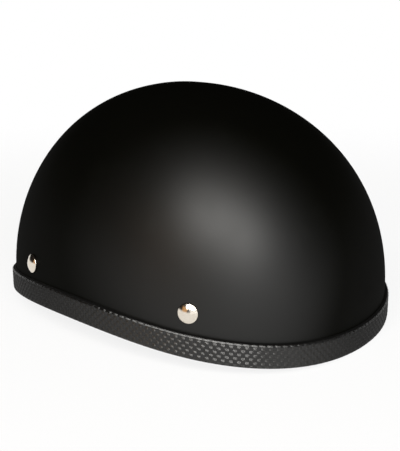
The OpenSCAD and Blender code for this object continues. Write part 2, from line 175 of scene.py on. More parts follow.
class Finish:
    """A material being made: its node tree, its shader, and one method that adds any node."""

    def __init__(self, name, constants, tree=None):
        if tree is None:
            self.material = bpy.data.materials.new(name)
            self.material.use_nodes = True
            tree = self.material.node_tree
        self.tree = tree
        self.shader = tree.nodes.get("Principled BSDF")
        for socket, value in constants.items():
            self.shader.inputs[socket].default_value = value

    def node(self, kind, settings=None, sockets=None, output=0):
        """Adds a node, sets its settings first and then its sockets, each with a value or a link.
        Gives its output of that name or number, or for a tuple of them a list of outputs."""
        made = self.tree.nodes.new(kind)
        for setting, value in (settings or {}).items():
            setattr(made, setting, value)
        for socket, value in (sockets or {}).items():
            if isinstance(value, Value):
                self.tree.links.new(value.socket, made.inputs[socket])
            else:
                made.inputs[socket].default_value = value
        if isinstance(output, tuple):
            return [Value(self, made.outputs[each]) for each in output]
        return Value(self, made.outputs[output])

    def feed(self, socket, value):
        self.tree.links.new(value.socket, self.shader.inputs[socket])

    def covered_by(self, other, share):
        """Mixes another shader over this one by share, and sends the mix to the output."""
        own = Value(self, self.shader.outputs[0])
        mixed = self.node("ShaderNodeMixShader", {}, {0: share, 1: own, 2: other})
        self.tree.links.new(mixed.socket, self.tree.nodes["Material Output"].inputs["Surface"])

    def place(self):
        """Object coordinates: places in the helmet's own frame, in metres."""
        return self.node("ShaderNodeTexCoord", output="Object")

    def along_across(self):
        """The piece's UV map, in centimetres along and across its cloth."""
        return self.parts(self.node("ShaderNodeUVMap", {"uv_map": "UVMap"}))[:2]

    def parts(self, vector):
        """The three numbers that make up a vector."""
        return self.node("ShaderNodeSeparateXYZ", {}, {0: vector}, (0, 1, 2))

    def seen_by(self):
        """Whether a ray comes from the camera, and whether it comes off a mirror or through glass."""
        camera, glossy, through = self.node(
            "ShaderNodeLightPath", output=("Is Camera Ray", "Is Glossy Ray", "Is Transmission Ray"))
        return camera, glossy.most(through)

    def facing(self):
        """0 where the surface is seen square on, 1 where it's seen edge-on."""
        return self.node("ShaderNodeLayerWeight", {}, {"Blend": 0.5}, "Facing")

    def painted_shade_coat(self, colour):
        """A dull coat of that colour, mixed over the shader as painted shade."""
        return self.node("ShaderNodeBsdfDiffuse", {}, {"Color": colour})

    def noise(self, vector, scale, detail=2.0, roughness=0.5):
        return self.node("ShaderNodeTexNoise", {},
                         {"Vector": vector, "Scale": scale, "Detail": detail, "Roughness": roughness})

    def cells(self, vector, scale, feature="F1"):
        return self.node("ShaderNodeTexVoronoi", {"feature": feature},
                         {"Vector": vector, "Scale": scale})

    def stretched(self, vector, x, y, z):
        """The same vector with its three numbers each made larger, so that a pattern gets finer."""
        return self.node("ShaderNodeVectorMath", {"operation": "MULTIPLY"}, {0: vector, 1: (x, y, z)})

    def ease(self, value, low, high, start=0.0, end=1.0):
        """Start below low, end above high, and a smooth step between them."""
        return self.node("ShaderNodeMapRange", {"interpolation_type": "SMOOTHSTEP"},
                         {0: value, 1: low, 2: high, 3: start, 4: end})

    def tint(self, share, first, second):
        """One colour turning into another."""
        return self.node("ShaderNodeMix", {"data_type": "RGBA"}, {0: share, 6: first, 7: second}, 2)

    def colour(self, share, first, second):
        """The shader's colour turns from one into the other."""
        self.feed("Base Color", self.tint(share, rgb(*first), rgb(*second)))

    def relief(self, height, distance, strength=1.0):
        """A bump on the shader's normal: the height times the distance, in metres."""
        self.feed("Normal", self.node("ShaderNodeBump", {},
                                      {"Strength": strength, "Distance": distance, "Height": height}))


def rgb(red, green, blue):
    return (red, green, blue, 1.0)


WHITE = rgb(1.0, 1.0, 1.0)


def soft_cloth(name, sheen, rough, tone, specular):
    """A cloth's finish before its pattern: a low shine, and a sheen from fibres that stand up."""
    return Finish(name, {"Specular IOR Level": specular, "Sheen Weight": sheen,
                         "Sheen Roughness": rough, "Sheen Tint": rgb(tone, tone, tone + 0.02)})


def satin_black():
    """Low-sheen black lacquer: faint orange peel, slow gloss changes, a few rubbed patches, gloss that
    fades edge-on, and a dull black coat mixed over it there: painted shade that keeps the edges dark,
    as a dark room's reflection would."""
    coat = Finish("satin_black_shell", {"Specular IOR Level": 0.405})
    at = coat.place()
    slow = coat.noise(at, 14, 3)
    rub = coat.ease(coat.noise(at, 55, 4, 0.6), 0.52, 0.75)
    fine = coat.noise(at, 900, 3, 0.6)
    edge_on = coat.facing()
    coat.colour(rub * 0.5 + slow * 0.3, (0.0009, 0.00095, 0.0005), (0.0021, 0.0021, 0.0012))
    coat.feed("Roughness", 0.422 + slow * 0.07 + rub * 0.03 + fine * 0.03 + edge_on * edge_on * 0.14)
    coat.relief(coat.noise(at, 420, 2) * 0.7 + fine * 0.3, 0.00006, 0.5)
    # Painted shade: a dull black coat over the gloss where the shell is seen edge-on darkens its edges.
    coat.covered_by(coat.painted_shade_coat(rgb(0.0013, 0.0013, 0.0008)), coat.ease(edge_on, 0.037, 0.427) * 0.9)
    return coat


def woven_trim():
    """Vinyl edging: smooth dull legs, a glossier bead, and a woven face whose cells alternate in gloss
    and in tone, the odd cells lighter, which is painted light standing for fibres that catch the light
    at another angle, with fine fibres up one half of them and along the other. The gloss fades where
    it's seen edge-on, and a dull dark coat mixed over it there is painted shade that darkens the
    trim's ends. The map counts ten cells to a unit, and is negative up the smooth part."""
    coat = Finish("woven_vinyl_trim", {"Specular IOR Level": 0.55})
    at = coat.place()
    along, up = coat.along_across()
    face = up.above(-0.002)
    bead = up.above(WOVEN_ROWS / 10 + 0.005)
    cell_along, cell_up = along * 10.0, up * 10.0
    odd = (cell_along.floor() + cell_up.floor()) % 2.0 * (1 - bead)
    fibres = (cell_along * 44.0).sine() * (1 - odd) + (cell_up * 44.0).sine() * odd
    dust = coat.noise(at, 700, 3, 0.7)
    rubbed = coat.noise(at, 330, 2)
    edge_on = coat.facing()
    smooth = rgb(0.0025, 0.0025, 0.0025)
    gloss = face * (0.04 + odd * (0.35 - dust * 0.1)) + bead * (0.38 - rubbed * 0.2)
    # Painted light: the odd cells are lighter, as fibres that catch the light would be; dust lightens it
    # too.
    weave = coat.tint(odd * 0.5 + dust * 0.3, smooth, rgb(0.021, 0.02, 0.018))
    coat.feed("Base Color", coat.tint(face, smooth, weave))
    coat.feed("Roughness", 0.46 - gloss + edge_on * edge_on * 0.3)
    coat.relief(odd * (1 - cell_up % 1.0) + fibres * face * 0.03 + dust * 0.03, 0.0006, 0.8)
    # Painted shade: a dull dark coat over the trim where it is seen edge-on darkens its ends.
    painted_edge_shade = coat.ease(edge_on, 0.12, 0.55, 0.08, 0.7) * (1 - bead * 0.8)
    coat.covered_by(coat.painted_shade_coat(rgb(0.004, 0.004, 0.0038)), painted_edge_shade)
    return coat


def nickel():
    """Bright nickel plate with hairline scratches and a little haze."""
    coat = Finish("nickel_plate", {"Metallic": 1.0})
    at = coat.place()
    haze = coat.noise(at, 260, 4, 0.6)
    scratches = coat.noise(coat.stretched(at, 3000, 300, 800), 1.0, 2)
    hair = coat.ease(abs(scratches - 0.5), 0.0, 0.03, 1.0, 0.0)
    coat.colour(haze, (0.8, 0.74, 0.65), (0.72, 0.65, 0.55))
    coat.feed("Roughness", 0.15 + haze * 0.06 + hair * 0.04)
    coat.relief(hair * 0.5 + haze, 0.000006, 0.3)
    return coat


def zinc():
    """Dull zinc plate with fine grain."""
    coat = Finish("zinc_plate", {"Metallic": 1.0})
    at = coat.place()
    grain = coat.noise(at, 1500, 3, 0.7)
    coat.colour(coat.noise(at, 220, 3), (0.5, 0.5, 0.5), (0.62, 0.61, 0.58))
    coat.feed("Roughness", 0.3 + grain * 0.2)
    coat.relief(grain, 0.00003, 0.4)
    return coat


def foam():
    """Closed-cell foam: small round cells on a slightly uneven dark grey, each cell darker in its sunk
    middle, which is painted shade.
    """
    coat = Finish("closed_cell_foam", {"Specular IOR Level": 0.2})
    at = coat.place()
    pits = coat.cells(at, 620)
    # Uneven tone, and painted shade in the cells: darker in each cell's sunk middle.
    uneven = coat.noise(at, 90, 3) * 0.6 + pits * 0.4
    coat.colour(uneven, (0.06, 0.06, 0.063), (0.11, 0.11, 0.115))
    coat.feed("Roughness", 0.86 + coat.noise(at, 200, 2) * 0.1)
    coat.relief(pits, 0.0004, 0.6)
    return coat


def knit():
    """Black knitted liner cloth: fine offset loops, a soft pile and patches of lighter wear. The colour
    is lighter on the loops' crowns and darker between them, which is painted shade.
    """
    coat = soft_cloth("knitted_liner_cloth", 0.35, 0.4, 0.5, 0.25)
    at = coat.place()
    along, across = [each * 7.0 for each in coat.along_across()]
    loops = abs((along * PI).sine()) * abs(((across + (along.floor() % 2.0) * 0.5) * PI).sine())
    pile = coat.noise(at, 1300, 3, 0.7)
    wear = coat.ease(coat.noise(at, 30, 4, 0.6), 0.45, 0.75)
    # Wear and pile, and painted shade: lighter on the loops' crowns, darker between them.
    lighter = loops * 0.25 + wear * 0.35 + pile * 0.2
    coat.colour(lighter, (0.014, 0.014, 0.015), (0.04, 0.04, 0.043))
    coat.feed("Roughness", 0.78 + pile * 0.18)
    coat.relief(loops * 0.7 + pile * 0.5, 0.00022, 0.7)
    return coat


def pad_mesh():
    """Black spacer mesh on the pads: rows of small round holes in a soft knitted face, with the holes
    painted dark as painted shade.
    """
    coat = soft_cloth("spacer_mesh_cloth", 0.3, 0.4, 0.5, 0.25)
    at = coat.place()
    along, across = [each * 4.2 for each in coat.along_across()]
    shifted = along + (across.floor() % 2.0) * 0.5
    off_along, off_across = (shifted % 1.0) - 0.5, (across % 1.0) - 0.5
    hole = coat.ease(off_along * off_along + off_across * off_across, 0.045, 0.12, 1.0, 0.0)
    pile = coat.noise(at, 1500, 3, 0.7)
    # Painted shade: the holes are coloured dark.
    coat.colour(hole, (0.034, 0.034, 0.037), (0.008, 0.008, 0.009))
    coat.feed("Roughness", 0.75 + pile * 0.2)
    coat.relief((1 - hole) * 0.9 + pile * 0.3, 0.0003, 0.7)
    return coat


def webbing():
    """Black nylon webbing: grains in columns along the strap, each column half a grain on from the
    next, with worn patches. The colour is lighter on the raised grains and darker between them, which
    is painted shade."""
    coat = soft_cloth("nylon_webbing", 0.15, 0.35, 0.6, 0.4)
    at = coat.place()
    along, across = coat.along_across()
    row, column = along * 5.5, across * 8.0
    grain = abs(((row + (column.floor() % 2.0) * 0.5) * PI).sine()) * abs((column * PI).sine())
    grain = grain ** 0.6
    fibre = coat.noise(at, 1800, 2, 0.6)
    worn = coat.ease(coat.noise(at, 40, 4, 0.6), 0.5, 0.8)
    # Worn patches, and painted shade: lighter on the raised grains, darker between them.
    lighter = grain * 0.6 + worn * 0.25
    coat.colour(lighter, (0.009, 0.009, 0.01), (0.038, 0.038, 0.041))
    coat.feed("Roughness", 0.5 + fibre * 0.2)
    coat.relief(grain + fibre * 0.2, 0.00032, 0.85)
    return coat


def elastic():
    """Woven elastic: close ribs along the loop, lighter on the ribs and darker between them, which is
    painted shade.
    """
    coat = Finish("ribbed_elastic", {"Specular IOR Level": 0.35})
    at = coat.place()
    along, across = coat.along_across()
    ribs = abs((across * 12.0 * PI).sine())
    cross = abs((along * 9.0 * PI).sine())
    # Painted shade: lighter on the raised ribs, darker between them.
    raised = ribs * 0.7 + cross * 0.2
    coat.colour(raised, (0.008, 0.008, 0.008), (0.035, 0.035, 0.036))
    coat.feed("Roughness", 0.55 + coat.noise(at, 900, 2) * 0.2)
    coat.relief(ribs * 0.8 + cross * 0.3, 0.0003, 0.8)
    return coat


def leather():
    """Black grained leather: small pebbles with creases between them, the creases darker, which is
    painted shade.
    """
    coat = Finish("grained_leather", {"Specular IOR Level": 0.45})
    at = coat.place()
    pebbles = coat.cells(at, 950)
    creases = coat.ease(coat.cells(at, 950, "DISTANCE_TO_EDGE"), 0.0, 0.12)
    # Painted shade: darker in the creases between the pebbles.
    coat.colour(creases * 0.8, (0.009, 0.008, 0.008), (0.03, 0.028, 0.026))
    coat.feed("Roughness", 0.42 + pebbles * 0.25)
    coat.relief(creases * 0.8 + coat.noise(at, 400, 3) * 0.5, 0.00018, 0.7)
    return coat


def thread():
    """Waxed black thread, twisted."""
    coat = Finish("waxed_thread", {"Specular IOR Level": 0.4})
    at = coat.place()
    twist = coat.noise(at, 2600, 2)
    coat.colour(twist, (0.03, 0.03, 0.032), (0.075, 0.075, 0.08))
    coat.feed("Roughness", 0.45 + twist * 0.2)
    coat.relief(twist, 0.0001, 0.6)
    return coat


def moulded_plastic():
    """Black moulded buckle plastic: spark-eroded grain and faint handling marks."""
    coat = Finish("moulded_buckle", {"Specular IOR Level": 0.45})
    at = coat.place()
    grain = coat.noise(at, 2200, 3, 0.7)
    marks = coat.ease(coat.noise(at, 150, 4, 0.65), 0.55, 0.8)
    coat.colour(marks * 0.6, (0.014, 0.014, 0.014), (0.032, 0.032, 0.032))
    coat.feed("Roughness", 0.38 + grain * 0.15 + marks * 0.06)
    coat.relief(grain, 0.00006, 0.6)
    return coat


# The dome's own geometry

def vectors(*parts):
    """Points, or places in a map, from their coordinates: numbers, or arrays of matching shapes."""
    return np.stack(np.broadcast_arrays(*parts), -1).astype(float)


def unit(a):
    return a / np.linalg.norm(a, axis=-1, keepdims=True)


def skin(u, v, depth):
    """A point on the dome, depth below its outer face. The plan is an oval, a little square in its
    corners and wider at the nape. It draws in with the cosine of v and rises with its sine, with a
    swelling at mid height and a crown that moves forward. Below v = 0 it's a straight skirt."""
    corner = 1 + CORNER_FULL * np.sin(2 * u) ** 2
    x = (HALF_WIDE - depth) * np.sin(u) * corner * (1 + NAPE_WIDE * np.cos(u) + EAR_WIDE * np.cos(2 * u))
    y = (HALF_LONG - depth) * np.cos(u) * corner
    up = np.maximum(v, 0)
    swell = DOME_FULL + SIDE_FULL * np.cos(2 * u) + NAPE_FULL * np.cos(u) * np.cos(up) ** 2
    drawn = np.cos(up) * (1 + np.sin(up) ** 2 * swell)
    z = SKIRT_TOP + (RISE - depth) * np.where(v < 0, v, np.sin(up))
    return vectors(x * drawn, y * drawn - CROWN_FORWARD * (1 - np.cos(up)), z)


def climb(z, depth):
    """The v of a height: straight below the skirt's top and an arcsine above it."""
    share = (z - SKIRT_TOP) / (RISE - depth)
    return np.where(share < 0, share, np.arcsin(np.clip(share, 0, 1)))


def skin_at(u, z, depth):
    return skin(u, climb(z, depth), depth)


def rim(u):
    """Height of the rim: it arches over each ear, a little more towards the front."""
    return np.sin(u) ** 2 * (RIM_ARCH - RIM_SKEW * np.cos(u))


def rivet_frame(end):
    """A left rivet's place on the outer face, and the direction square to the shell there."""
    bearing, up = RIVETS[end]
    u = math.radians(bearing)
    z = rim(u) + up
    step = math.radians(0.5)
    place = skin_at(u, z, 0)
    out = unit(np.cross(skin_at(u + step, z, 0) - skin_at(u - step, z, 0),
                        skin_at(u, z + 0.5, 0) - skin_at(u, z - 0.5, 0)))
    return place, out * np.sign(out @ np.array([math.sin(u), math.cos(u), 0]))


# Meshes

def grid_faces(rows, columns, looped):
    """Corner numbers of a grid's faces: one face of four for each cell between neighbouring rings,
    and faces of three that close the first and the last ring on a point, unless the rings loop."""
    i = np.arange(rows if looped else rows - 1)[:, None]
    j = np.arange(columns)[None, :]
    below, beside = (i + 1) % rows, (j + 1) % columns
    quads = np.stack(np.broadcast_arrays(i * columns + j, i * columns + beside,
                                         below * columns + beside, below * columns + j), -1)
    k, first, last = j[0], rows * columns, (rows - 1) * columns
    tips = joined(np.stack([first + 0 * k, (k + 1) % columns, k], -1),
                  np.stack([first + 1 + 0 * k, last + k, last + (k + 1) % columns], -1))
    return [quads.reshape(-1, 4), tips[:0] if looped else tips]


def mapped_faces(uv, looped):
    """The map's places at the corners of the same faces. The map has a column more than the grid, and
    a row more where the rings loop. A closing point takes the mean of its ring."""
    rows, columns = uv.shape[0] - 1, uv.shape[1] - 1
    i, j = np.arange(rows)[:, None], np.arange(columns)
    quads = np.stack([uv[i, j], uv[i, j + 1], uv[i + 1, j + 1], uv[i + 1, j]], -2).reshape(-1, 4, 2)
    tips = np.concatenate([np.stack([np.broadcast_to(ring.mean(0), (columns, 2)), ring[a], ring[b]], 1)
                           for ring, a, b in ((uv[0], j + 1, j), (uv[-1], j, j + 1))])
    return [quads, tips[:0] if looped else tips]


def six_volumes(points, quads, tips):
    """Six times the volume inside the faces: the sum, over their triangles, of one corner's dot
    product with the cross product of the other two."""
    triangles = joined(quads[:, [0, 1, 2]], quads[:, [0, 2, 3]], tips)
    first, second, third = points[triangles].transpose(1, 0, 2)
    return np.einsum("ij,ij->", first, np.cross(second, third))


def surface(name, grid, finish, uv=None, looped=False, sharp=None):
    """One closed mesh from rings of points in millimetres, rows x columns x 3, or several such grids
    of one shape. The end rings close on a point at their middle, unless the rings make a loop. The
    faces are turned over if the volume inside them comes out negative."""
    grid = grid if grid.ndim == 4 else grid[None]
    copies, rows, columns, _ = grid.shape
    points = grid.reshape(copies, -1, 3)
    if not looped:
        points = np.concatenate([points, grid[:, :1].mean(2), grid[:, -1:].mean(2)], 1)
    faces = grid_faces(rows, columns, looped)
    places = [] if uv is None else mapped_faces(uv, looped)
    if six_volumes(points[0], *faces) < 0:
        faces, places = ([each[:, ::-1] for each in group] for group in (faces, places))
    shift = (np.arange(copies) * points.shape[1])[:, None, None]
    corners = np.concatenate([(each[None] + shift).ravel() for each in faces])
    sizes = np.concatenate([np.full(copies * len(each), each.shape[1]) for each in faces])
    mesh = bpy.data.meshes.new(name)
    mesh.vertices.add(copies * points.shape[1])
    mesh.vertices.foreach_set("co", (points * MM).astype(np.float32).ravel())
    mesh.loops.add(len(corners))
    mesh.loops.foreach_set("vertex_index", corners.astype(np.int32))
    mesh.polygons.add(len(sizes))
    mesh.polygons.foreach_set("loop_start", (np.cumsum(sizes) - sizes).astype(np.int32))
    mesh.update(calc_edges=True)
    mesh.validate()
    mesh.polygons.foreach_set("use_smooth", np.ones(len(sizes), bool))
    if places:
        flat = np.concatenate([np.tile(each.reshape(-1, 2), (copies, 1)) for each in places])
        mesh.uv_layers.new(name="UVMap").data.foreach_set("uv", flat.astype(np.float32).ravel())
    if sharp is not None:
        mesh.set_sharp_from_angle(angle=math.radians(sharp))
    mesh.materials.append(finish.material)
    piece = bpy.data.objects.new(name, mesh)
    scene.collection.objects.link(piece)
    return piece


def worn_on(piece, body, slot, *nodes):
    """Sets what a piece rides on and hides the imported nodes it stands for; slot is not used."""
    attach(piece, body)
    if nodes:
        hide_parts(*nodes)


def joined(*parts):
    return np.concatenate(parts)


def ring_angles(count):
    return np.arange(count) * 2 * PI / count


def lengths(line):
    """The distance along a line of points to each of them."""
    return joined([0], np.cumsum(np.linalg.norm(np.diff(line, axis=0), axis=1)))


def closed(line):
    """The line with its first point again at its end."""
    return joined(line, line[:1])


def flat_map(along, across):
    """A map from places along a piece and places across it, both in centimetres."""
    return vectors(along[:, None], across)


def round_map(reach, turn):
    """A map laid flat round the crown: a distance from the middle, in centimetres, and a bearing."""
    return vectors(reach * np.sin(turn), reach * np.cos(turn))


def ridge(x, middle, width):
    """1 at the middle, and e to the power of minus the square of the distance over the width."""
    return np.exp(-((x - middle) / width) ** 2)


def seam(x, width):
    """A ridge of that width on each whole number."""
    return ridge(np.abs(x - np.round(x)), 0, width)


def signed_power(a, power):
    """The size of a number to that power, with the number's own sign."""
    return np.sign(a) * np.abs(a) ** power


def dome_shell(name, finish, outer, inner, edge, columns, rows, inner_rows, swell=None):
    """A dome-shaped layer: rings of the outer skin from the crown down to its edge, then rings of the
    inner skin back up to the crown. swell(u, v) moves the inner face towards the head. Its map is the
    dome laid flat round the crown."""
    u = ring_angles(columns)[None, :]
    first = 0.004
    down = np.linspace(first, 1, rows)[:, None]
    back = np.linspace(1, first, inner_rows)[:, None]
    fall_out = (PI / 2 - climb(edge(u), outer)) * down
    fall_in = (PI / 2 - climb(edge(u), inner)) * back
    depth = inner if swell is None else inner + swell(u, PI / 2 - fall_in)
    grid = joined(skin(u, PI / 2 - fall_out, outer), skin(u, PI / 2 - fall_in, depth))
    flat = round_map(joined(fall_out, fall_in) * DOME_REACH / 10, u)
    return surface(name, grid, finish, uv=np.concatenate([flat, flat[:, :1]], 1), sharp=40)


# Shell, trim and rivets

def shell_edge(u):
    """Height of the shell's edge, just above the trim's web."""
    return rim(u) + TRIM_WEB + TRIM_PLAY


def make_shell():
    """The shell: the dome's outer face, and its inner face a wall's thickness below it."""
    shell = dome_shell("dome_shell", satin_black(), 0.0, WALL, shell_edge, 256, 128, 48)
    worn_on(shell, "helmet", "shell_plastic", "shell")


def round_corner(x, z, radius, start, end, steps):
    """Points on an arc round (x, z), from one angle to another in degrees."""
    a = np.radians(np.linspace(start, end, steps + 1))
    return vectors(x + radius * np.cos(a), z + radius * np.sin(a))


def trim_section():
    """Channel section, as distance out from the shell's face and height over the rim, with the woven
    row that each point is in, or -1 on the smooth part. The woven face runs from under the lower lip
    up to a narrow sloping bead, and a smooth shoulder goes from there in to the shell."""
    inner = -WALL - TRIM_PLAY
    inside = inner - TRIM_LEG
    tip = TRIM_LEG * 0.45
    face = TRIM_PROUD - 0.3
    lip = 1.25
    line = joined(round_corner(face - lip, TRIM_FOOT, lip, -72, 0, 6),
                  [[face, TRIM_HIGH - 1.65]])
    length = lengths(line)
    at = np.linspace(0, length[-1], WOVEN_ROWS * CELL_STEPS + 1)
    woven = np.stack([np.interp(at, length, line[:, k]) for k in range(2)], -1)
    top = np.array([face, TRIM_HIGH])
    bead = top + [[0.3, -1.47], [0.09, -1.12], [-0.2, -0.66], [-0.34, -0.5]]
    smooth = joined(
        [top + [-0.6, -0.4]], np.linspace(top + [-0.85, -0.36], [0.45, TRIM_HIGH - 0.15], 4),
        [[TRIM_PLAY + 0.08, TRIM_HIGH - 0.06], [TRIM_PLAY, TRIM_HIGH - 0.4]],
        [[TRIM_PLAY, TRIM_WEB], [inner, TRIM_WEB]],
        round_corner(inner - tip, TRIM_LEG_HIGH - tip, tip, 0, 90, 2),
        round_corner(inside + tip, TRIM_LEG_HIGH - tip, tip, 90, 180, 2),
        round_corner(inside + TRIM_FOOT, TRIM_FOOT, TRIM_FOOT, 180, 270, 3),
        [[face - 1.6, 0.0], [face - 1.1, 0.06]])
    rows = joined(at / length[-1] * WOVEN_ROWS, WOVEN_ROWS + np.array([0.15, 0.4, 0.7, 0.9]),
                  np.full(len(smooth), -1.0))
    return joined(woven, bead, smooth), rows


def weave_relief(step, rows):
    """How far the trim stands up at each mesh step along the rim and each woven row. Every second
    cell is crowned, by a parabola along the rim times a flatter one up the face. The others rise in
    a straight line over their lowest quarter and lean back in another. There is a groove at every
    border, the lowest row fades in, and the bead dips in a parabola over every second cell."""
    woven, bead = (rows >= 0) & (rows <= WOVEN_ROWS), rows > WOVEN_ROWS
    part_along, part_up = (step % CELL_STEPS) / CELL_STEPS, np.where(woven, rows % 1, 0)
    off_along, off_up = (2 * part_along - 1) ** 2, (2 * part_up - 1) ** 2
    odd = (step // CELL_STEPS + np.floor(rows + 1e-6)) % 2 > 0.5
    groove = (step % CELL_STEPS == 0) | (np.abs(part_up - np.round(part_up)) < 0.01)
    lean = np.where(part_up < 0.25, part_up / 0.25, 1 - 1.7 * (part_up - 0.25) / 0.75)
    high = np.where(odd, LEANING * lean * (1 - 0.12 * off_along),
                    CROWNED * (1 - 0.8 * off_along) * (1 - 0.3 * off_up))
    high = np.where(woven & ~groove, high, 0) * np.clip(rows / 0.8, 0, 1)
    return np.where(bead & odd, -BEAD_DIP * (1 - off_along), high)


def make_trim():
    """The section carried once round the rim at equal steps of its length, a few to each woven cell,
    with the weave's relief square to the section's line."""
    turn = np.linspace(0, 2 * PI, 7201)
    length = lengths(skin_at(turn, rim(turn) + 7, -TRIM_PROUD))
    cells = 2 * round(length[-1] / (2 * CELL_LONG))
    stations = cells * CELL_STEPS
    u = np.interp(np.arange(stations) / stations * length[-1], length, turn)[:, None]
    section, rows = trim_section()
    ahead = unit(np.roll(section, -1, 0) - np.roll(section, 1, 0))
    high = weave_relief(np.arange(stations)[:, None], rows)
    out = section[:, 0] + ahead[:, 1] * high
    up = section[:, 1] - ahead[:, 0] * high
    grid = skin_at(u, rim(u) + up, -out)
    uv = flat_map(np.arange(stations + 1) / (10 * CELL_STEPS), closed(rows) / 10)
    trim = surface("woven_edge_trim", grid, woven_trim(), uv=uv, looped=True, sharp=75)
    worn_on(trim, "helmet", "trim_vinyl", "edge_trim")


def turned(place, out, profile, count):
    """A profile of (radius, height) pairs turned about an axis through place, with a point at each
    end: each ring lies square to out, at that height along it."""
    side = unit(np.cross([0, 0, 1.0], out))
    up = np.cross(out, side)
    a = ring_angles(count)[None, :, None]
    radius, height = profile[:, 0][:, None, None], profile[:, 1][:, None, None]
    return place + out * height + radius * (np.cos(a) * side + np.sin(a) * up)


def make_rivets():
    """A shallow dome on a short rounded lip, the shank and the rolled end inside. The dome's height
    falls off with the square of the distance from its middle."""
    finish = nickel()
    share = np.linspace(0.03, 1, 26)
    dome = vectors((CAP_HALF - 0.12) * share, CAP_LIP + (CAP_HIGH - CAP_LIP) * (1 - share ** 2))
    lip = np.array([[CAP_HALF - 0.03, CAP_LIP - 0.12], [CAP_HALF, CAP_LIP - 0.3], [CAP_HALF, 0.12],
                    [CAP_HALF - 0.2, 0.02]])
    roll, bore = 3.62, 1.5
    deep, bottom = -ROLL_DEPTH, -ROLL_DEPTH - 1.4
    inner = np.array([[SHANK + 0.2, 0.0], [SHANK, -0.3], [SHANK, deep - 0.05],
                      [roll - 0.22, deep - 0.12], [roll, deep - 0.5], [roll - 0.22, deep - 1.05],
                      [SHANK + 0.3, bottom], [bore + 0.4, bottom + 0.1], [bore, bottom + 0.55],
                      [0.4, bottom + 0.75]])
    profile = joined(dome, lip, inner)
    for side, way in SIDES.items():
        for end in RIVETS:
            place, out = rivet_frame(end)
            grid = turned(place, out, profile, 64) * [way, 1, 1]
            cap = surface(f"rivet_cap_{end}_{side}", grid, finish, sharp=50)
            worn_on(cap, "helmet", "rivet_nickel", f"rivet_{end}_{side}")


# Liner and pads

def pillows(u, v):
    """How far the quilted cloth swells towards the head. On the dome laid flat round the crown two
    sets of seams cross. The pillow in each diamond is the product of a sine across each set, to the
    power of 0.4, less how far it's set back. It gets lower by a 14th power towards the edge, where a
    hem runs round as a ridge."""
    fall = PI / 2 - v
    x, y = np.sin(u) * fall * DOME_REACH, np.cos(u) * fall * DOME_REACH
    puff = np.abs(np.sin(PI * (x + y) / QUILT) * np.sin(PI * (x - y) / QUILT)) ** 0.4
    low = np.clip(fall / (PI / 2 - climb(LINER_LOW, CLOTH_DEPTH)), 0, 1)
    return PUFF * puff * (1 - low ** 14) - SUNK + HEM * ridge(low, 0.975, 0.016)


def liner_edge(u):
    """Height of the liner's edge, level all round."""
    return LINER_LOW + 0 * u


def make_liner():
    """Foam layer, and the quilted cloth over it."""
    core = dome_shell("foam_core", foam(), FOAM_DEPTH, FOAM_DEPTH + FOAM_THICK, liner_edge, 128, 40, 40)
    worn_on(core, "helmet", "foam", "foam_liner")
    cloth = dome_shell("quilted_liner", knit(), CLOTH_DEPTH, CLOTH_DEPTH + CLOTH_THICK, liner_edge,
                       384, 16, 200, swell=pillows)
    worn_on(cloth, "helmet", "liner_cloth", "cloth_liner")


def band_pad(name, start, end, channels, finish, way, node):
    """A headband pad: its section is a rounded oblong between the trim and the liner, flat on the
    wall and crowned towards the head, its corners made by powers of a sine and a cosine. It narrows
    at both ends, by one minus a fourth power, to the power of 0.4. It has sewn channels across it and
    a piped seam round its edge, both ridges, and two slow sines along it make it uneven."""
    steps, count = max(48, round((end - start) * 1.6)), 72
    s = -np.cos(PI * (0.025 + 0.95 * np.linspace(0, 1, steps)))[:, None]
    u = np.radians((start + end) / 2 + (end - start) / 2 * s)
    full = (1 - np.abs(s) ** 4) ** 0.4
    low, high = rim(u) + TRIM_LEG_HIGH + PAD_UP, LINER_LOW - GAP
    half = (high - low) / 2 * (0.8 + 0.2 * full)
    depth = PAD_THICK * (0.35 + 0.65 * full)
    a = ring_angles(count)[None, :]
    front = np.clip(0.5 - 0.5 * signed_power(np.cos(a), 0.55), 0, 1)
    across = signed_power(np.sin(a), 0.6)
    groove = seam((s * 0.5 + 0.5) * channels, 0.055) * (np.abs(s) < 0.97)
    wave = 0.25 * np.sin(9 * s + 2 * across) + 0.2 * np.sin(23 * s - 3 * across + 1)
    thick = depth * front * (1 - 0.2 * groove) + front * wave
    piping = 0.55 * ridge(front, 0.42, 0.06)
    middle = (low + high) / 2 + half * across * (1 + piping / half)
    grid = skin_at(u, middle, FOAM_DEPTH + thick) * [way, 1, 1]
    uv = flat_map(lengths(grid[:, 0]) / 10, lengths(closed(grid[steps // 2])) / 10)
    pad = surface(name, grid, finish, uv=uv)
    worn_on(pad, "helmet", "liner_cloth", node)


def crown_pad(finish):
    """The round pad at the crown: flat on the liner, crowned towards the head by the square root of
    one minus a fourth power, with six sewn spokes, a sewn hoop and a piped edge, all ridges."""
    flat_rows, rows, columns = 16, 44, 144
    share = joined(np.linspace(0.02, 1, flat_rows), np.linspace(1, 0.02, rows))[:, None]
    inner = joined(np.zeros(flat_rows), np.ones(rows))[:, None]
    u = ring_angles(columns)[None, :]
    crown = 0.3 + 0.7 * (1 - share ** 4) ** 0.5
    spokes = seam(u / (2 * PI) * 6, 0.035) * (share > 0.36) * (share < 0.9)
    sewn = np.maximum(spokes, ridge(share, 0.35, 0.035))
    thick = CROWN_THICK * crown * (1 - 0.28 * sewn) + 0.5 * ridge(share, 0.97, 0.02)
    grid = skin(u, PI / 2 - CROWN_ANGLE * share, CROWN_DEPTH + inner * thick)
    map_radius = 4.2
    uv = round_map(share * map_radius, np.arange(columns + 1) / columns * 2 * PI)
    pad = surface("crown_cushion", grid, finish, uv=uv)
    worn_on(pad, "helmet", "liner_cloth", "crown_pad")


